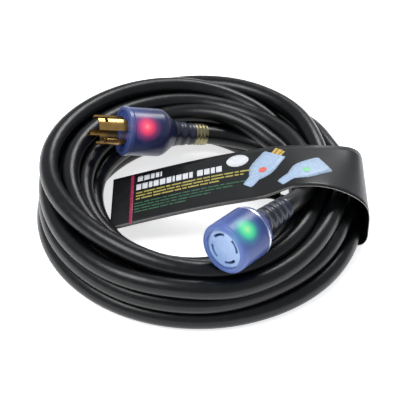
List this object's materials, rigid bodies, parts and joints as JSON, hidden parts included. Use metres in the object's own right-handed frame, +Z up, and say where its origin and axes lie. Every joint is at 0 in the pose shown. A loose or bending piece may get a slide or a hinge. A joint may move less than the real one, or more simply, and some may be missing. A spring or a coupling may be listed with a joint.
{
  "type": "shore power cord",
  "caption": "Coiled heavy-duty power cord with a lighted twist-lock plug and connector, held by a folded card sleeve.",
  "frame": {"origin": "centre of the coil's footprint, on the surface it lies on", "axes": "+Z up along the coil's axis, +X towards the side that the card sleeve wraps, -Y towards the connector"},
  "size_m": [0.294, 0.292, 0.1011],
  "materials": {
    "jacket": "semi-gloss moulded",
    "plug_shell": "translucent blue, polished",
    "connector_shell": "translucent pale blue, polished",
    "plug_boot": "satin",
    "connector_boot": "smoky, semi-gloss",
    "carrier": "moulded",
    "blades": "satin",
    "ferrule": "satin",
    "red_lamp": "glowing",
    "green_lamp": "glowing",
    "board": "matt laminate",
    "card": "printed, semi-gloss",
    "green_wire": "extruded",
    "black_wire": "extruded",
    "white_wire": "extruded",
    "red_wire": "extruded"
  },
  "bodies": {
    "cord": {"cord_coil": "jacket", "plug_lead": "jacket", "connector_lead": "jacket", "plug_body": "plug_shell", "plug_face": "carrier", "blade_ground": "blades", "blade_hot_x": "blades", "blade_neutral": "blades", "blade_hot_y": "blades", "plug_lamp": "red_lamp", "plug_lamp_board": "board", "plug_wire_green": "green_wire", "plug_wire_black": "black_wire", "plug_wire_white": "white_wire", "plug_wire_red": "red_wire", "plug_boot": "plug_boot", "plug_ferrule": "ferrule", "connector_body": "connector_shell", "connector_face": "carrier", "contact_ground": "blades", "contact_hot_x": "blades", "contact_neutral": "blades", "contact_hot_y": "blades", "connector_lamp": "green_lamp", "connector_lamp_board": "board", "connector_wire_green": "green_wire", "connector_wire_black": "black_wire", "connector_wire_white": "white_wire", "connector_wire_red": "red_wire", "connector_boot": "connector_boot"},
    "sleeve": {"card_sleeve": "card"}
  },
  "joints": [
    {"name": "sleeve_slide", "type": "hinge", "parent": "cord", "child": "sleeve", "pos_m": [0, 0, 0.03], "axis": [0, 0, 1], "range_deg": [0, 8]}
  ]
}
